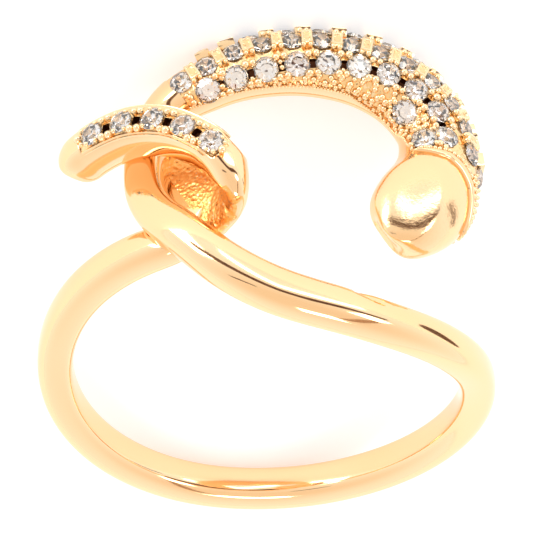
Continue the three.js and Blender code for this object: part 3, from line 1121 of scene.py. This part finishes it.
class RING_OT_rungs(RingOperator, bpy.types.Operator):
    """Builds the raised rungs between the stones of the top and back rows"""
    bl_idname = "ring.rungs"
    bl_label = "Rungs between stones"

    def execute(self, context):
        ends = [surface(BAND_PLACES, reach * MM, side, ROUND) for reach, side in SKYLINE_ENDS]
        raise_rungs("skyline_rungs", gaps("back_row") + ends)
        raise_rungs("top_rungs", gaps("top_row"))
        return {"FINISHED"}


class RING_OT_trim(RingOperator, bpy.types.Operator):
    """Lays the rims of the bar's channel and the plain collar round the dome"""
    bl_idname = "ring.trim"
    bl_label = "Rims and collar"

    def execute(self, context):
        for name, (side, first, last) in RIMS.items():
            spots = [surface(HOOK_PLACES, reach * MM, side, SQUARE)
                     for reach in steps(first, last, 23)]
            places = path_places(spots, width=0.14 * MM, depth=0.12 * MM)
            finish_piece(sweep(name, places, FLAT, points=10), "bead", 40)
        spots = dome_line(start=-78, end=70, count=30, past=-0.16)
        places = path_places(spots, width=0.42 * MM, depth=0.3 * MM)
        collar = sweep("dome_collar", places, FLAT, points=12)
        apply_modifier(collar, "SUBSURF", levels=1, render_levels=1)
        finish_piece(collar, "gold", 40)
        return {"FINISHED"}


def light_tent(tree):
    """Soft light all round: bright and cool near the floor, dimmer and warm overhead."""
    sky = tree.nodes["Background"]
    way = tree.nodes.new("ShaderNodeTexCoord").outputs["Generated"]
    split = tree.nodes.new("ShaderNodeSeparateXYZ")
    tree.links.new(way, split.inputs[0])
    rise = ranged(tree, split.outputs["Z"], 0.0, 0.9, 0.0, 1.0)
    tree.links.new(mix_colour(tree, rise, LOW_LIGHT, HIGH_LIGHT), sky.inputs["Color"])
    sky.inputs["Strength"].default_value = 1.0


def build_floor(look):
    """A pale floor that glows faintly."""
    deselect_all()
    bpy.ops.mesh.primitive_plane_add(size=1.2, location=(0, 0, 0))
    floor = named("studio_floor")
    material, tree, shader = blank("studio_floor")
    at = tree.nodes.new("ShaderNodeTexCoord").outputs["Object"]
    tone = noise(tree, at, 6.0)
    low = [0.985 * v for v in look.floor]
    feed(tree, shader, {"Base Color": mix_colour(tree, tone, look.floor, low),
                        "Roughness": 0.9, "Emission Color": (0.8, 0.95, 1.2, 1),
                        "Emission Strength": 0.19})
    floor.data.materials.append(material)


def place_camera(scene):
    data = bpy.data.cameras.new("camera")
    data.lens = 300.67
    data.sensor_width = 36.0
    data.clip_start = 0.01
    camera = bpy.data.objects.new("camera", data)
    camera.matrix_world = Matrix((RIGHT, UPWARD, BACK)).transposed().to_4x4()
    camera.matrix_world.translation = AIM + BACK * CAMERA_DISTANCE
    scene.collection.objects.link(camera)
    scene.camera = camera


def hang_lamps(scene):
    """Soft lamps round the ring, none lower than a small rise."""
    for name, (way, distance, size, watts) in LAMPS.items():
        lamp = bpy.data.lights.new(name, "AREA")
        lamp.size = size
        lamp.energy = watts
        lamp.color = LAMP_COLOUR
        holder = bpy.data.objects.new(name, lamp)
        away = view_way(way)
        if away.z < LAMP_RISE:
            away = Vector((away.x, away.y, LAMP_RISE)).normalized()
        holder.location = AIM + away * distance
        holder.rotation_euler = away.to_track_quat("Z", "Y").to_euler()
        scene.collection.objects.link(holder)


def hang_cards():
    """Cards that show only as dark and bright shapes in the polished metal."""
    covers = {}
    for name, inputs in COVERS.items():
        covers[name], tree, shader = blank(name)
        feed(tree, shader, inputs)
    deselect_all()
    bpy.ops.mesh.primitive_cylinder_add(vertices=24, radius=0.0068, depth=0.001,
                                        location=AIM + DISC_PLACE)
    disc = named("dark_disc")
    apply_place(disc)
    cards = [(disc, "dark_card")]
    for name, (cover, width, directions) in SLITS.items():
        ways = [view_way(way) for way in directions]
        spots = [Spot(AIM + way * SLIT_DISTANCE, way, way, way) for way in ways]
        places = path_places(spots, width, depth=0.002)
        cards.append((sweep(name, places, FLAT, points=8), cover))
    for card, cover in cards:
        card.data.materials.clear()
        card.data.materials.append(covers[cover])
        card.visible_camera = card.visible_diffuse = card.visible_shadow = False


class RING_OT_stage(RingOperator, bpy.types.Operator):
    """Sets the floor, camera, soft lights and the cards that the metal mirrors"""
    bl_idname = "ring.stage"
    bl_label = "Stage"

    def execute(self, context):
        scene = context.scene
        build_floor(self.look)
        place_camera(scene)
        scene.world = bpy.data.worlds.new("studio")
        scene.world.use_nodes = True
        light_tent(scene.world.node_tree)
        hang_lamps(scene)
        hang_cards()
        scene.view_settings.view_transform = "Standard"
        return {"FINISHED"}


class RING_PT_panel(bpy.types.Panel):
    """Lists the ring's steps and settings"""
    bl_idname = "RING_PT_panel"
    bl_label = "Knot Ring"
    bl_space_type = "VIEW_3D"
    bl_region_type = "UI"
    bl_category = "Ring"

    def draw(self, context):
        for operator in OPERATORS:
            self.layout.operator(operator.bl_idname)
        for key in KnotRingSettings.__annotations__:
            self.layout.prop(context.scene.knot_ring, key)


OPERATORS = (RING_OT_band, RING_OT_hook, RING_OT_stones, RING_OT_beads, RING_OT_rungs,
             RING_OT_trim, RING_OT_stage)
CLASSES = (KnotRingSettings, *OPERATORS, RING_PT_panel)


def register():
    for item in CLASSES:
        bpy.utils.register_class(item)
    bpy.types.Scene.knot_ring = bpy.props.PointerProperty(type=KnotRingSettings)


def unregister():
    del bpy.types.Scene.knot_ring
    for item in reversed(CLASSES):
        bpy.utils.unregister_class(item)


def main():
    register()
    bpy.ops.ring.band()
    bpy.ops.ring.hook()
    bpy.ops.ring.stones()
    bpy.ops.ring.beads()
    bpy.ops.ring.rungs()
    bpy.ops.ring.trim()
    bpy.ops.ring.stage()
    deselect_all()


if __name__ == "__main__":
    main()
